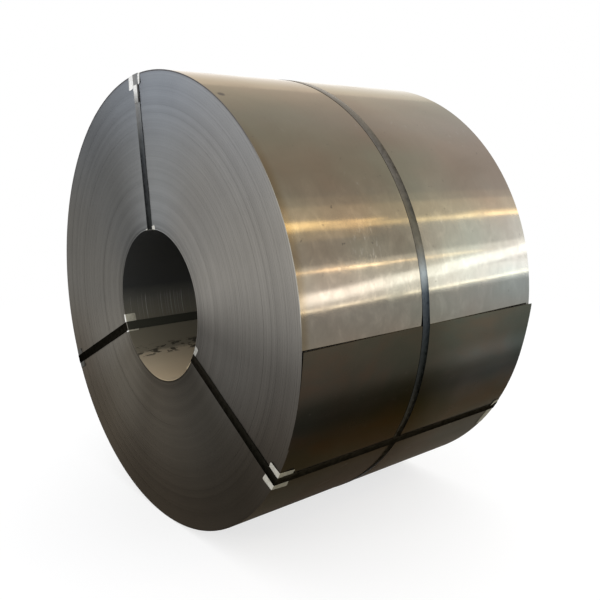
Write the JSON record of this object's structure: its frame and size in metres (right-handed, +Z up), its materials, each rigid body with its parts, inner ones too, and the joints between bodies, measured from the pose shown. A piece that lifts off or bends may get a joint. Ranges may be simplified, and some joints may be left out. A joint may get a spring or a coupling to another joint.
{
  "type": "steel coil",
  "caption": "Strapped coil of bare steel strip lying with its eye level, with a round bore, a belly strap, eye straps and edge protectors.",
  "frame": {"origin": "on the axis of the bore at mid width of the coil", "axes": "+Y along the bore, away from the end with the strap seal; +Z up as the coil lies; +X towards the tail of the last lap"},
  "size_m": [1.5279, 1.0278, 1.5177],
  "materials": {
    "coil_steel": "bare rolled steel, satin, with brownish oil film and scuffs",
    "strap_paint": "dark blue-black painted steel strapping, satin",
    "protector_zinc": "bright galvanised sheet",
    "seal_zinc": "galvanised, crimped"
  },
  "bodies": {
    "root": {"coil": "coil_steel", "belly_strap": "strap_paint", "belly_seal": "seal_zinc", "eye_strap_top": "strap_paint", "eye_seal_top": "seal_zinc", "rim_protector_near_top": "protector_zinc", "bore_protector_near_top": "protector_zinc", "rim_protector_far_top": "protector_zinc", "bore_protector_far_top": "protector_zinc", "eye_strap_left": "strap_paint", "eye_seal_left": "seal_zinc", "rim_protector_near_left": "protector_zinc", "bore_protector_near_left": "protector_zinc", "rim_protector_far_left": "protector_zinc", "bore_protector_far_left": "protector_zinc", "eye_strap_right": "strap_paint", "eye_seal_right": "seal_zinc", "rim_protector_near_right": "protector_zinc", "bore_protector_near_right": "protector_zinc", "rim_protector_far_right": "protector_zinc", "bore_protector_far_right": "protector_zinc"}
  },
  "joints": []
}
